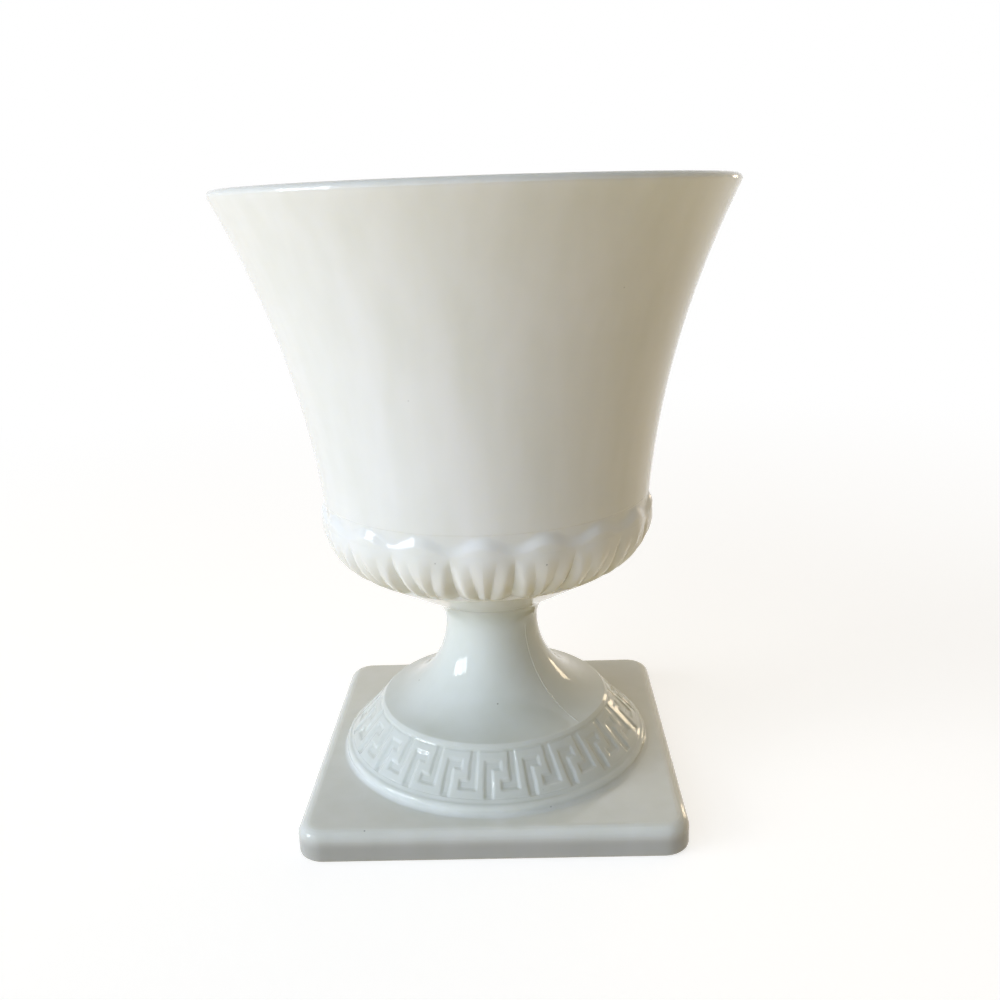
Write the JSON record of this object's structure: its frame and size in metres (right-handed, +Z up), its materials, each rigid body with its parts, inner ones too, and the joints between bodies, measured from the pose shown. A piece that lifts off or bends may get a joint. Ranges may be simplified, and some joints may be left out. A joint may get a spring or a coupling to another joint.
{
  "type": "urn vase",
  "caption": "Footed urn vase in opaque white pressed glass: flared bowl with a leaf ring below, waisted stem, key-pattern collar and square plinth.",
  "frame": {"origin": "centre of the square plinth's underside, the plane that the vase stands on", "axes": "+Z up along the axis of the bowl and stem, +X and +Y square to the plinth's sides, front is -Y"},
  "size_m": [0.1526, 0.1526, 0.1885],
  "materials": {
    "milk_glass_bowl": "fire-polished opaque white (opal) pressed glass",
    "milk_glass_wafer": "fire-polished opaque white (opal) pressed glass",
    "milk_glass_foot": "fire-polished opaque white (opal) pressed glass"
  },
  "bodies": {
    "root": {"bowl": "milk_glass_bowl", "joining_wafer": "milk_glass_wafer", "pedestal_foot": "milk_glass_foot"}
  },
  "joints": []
}
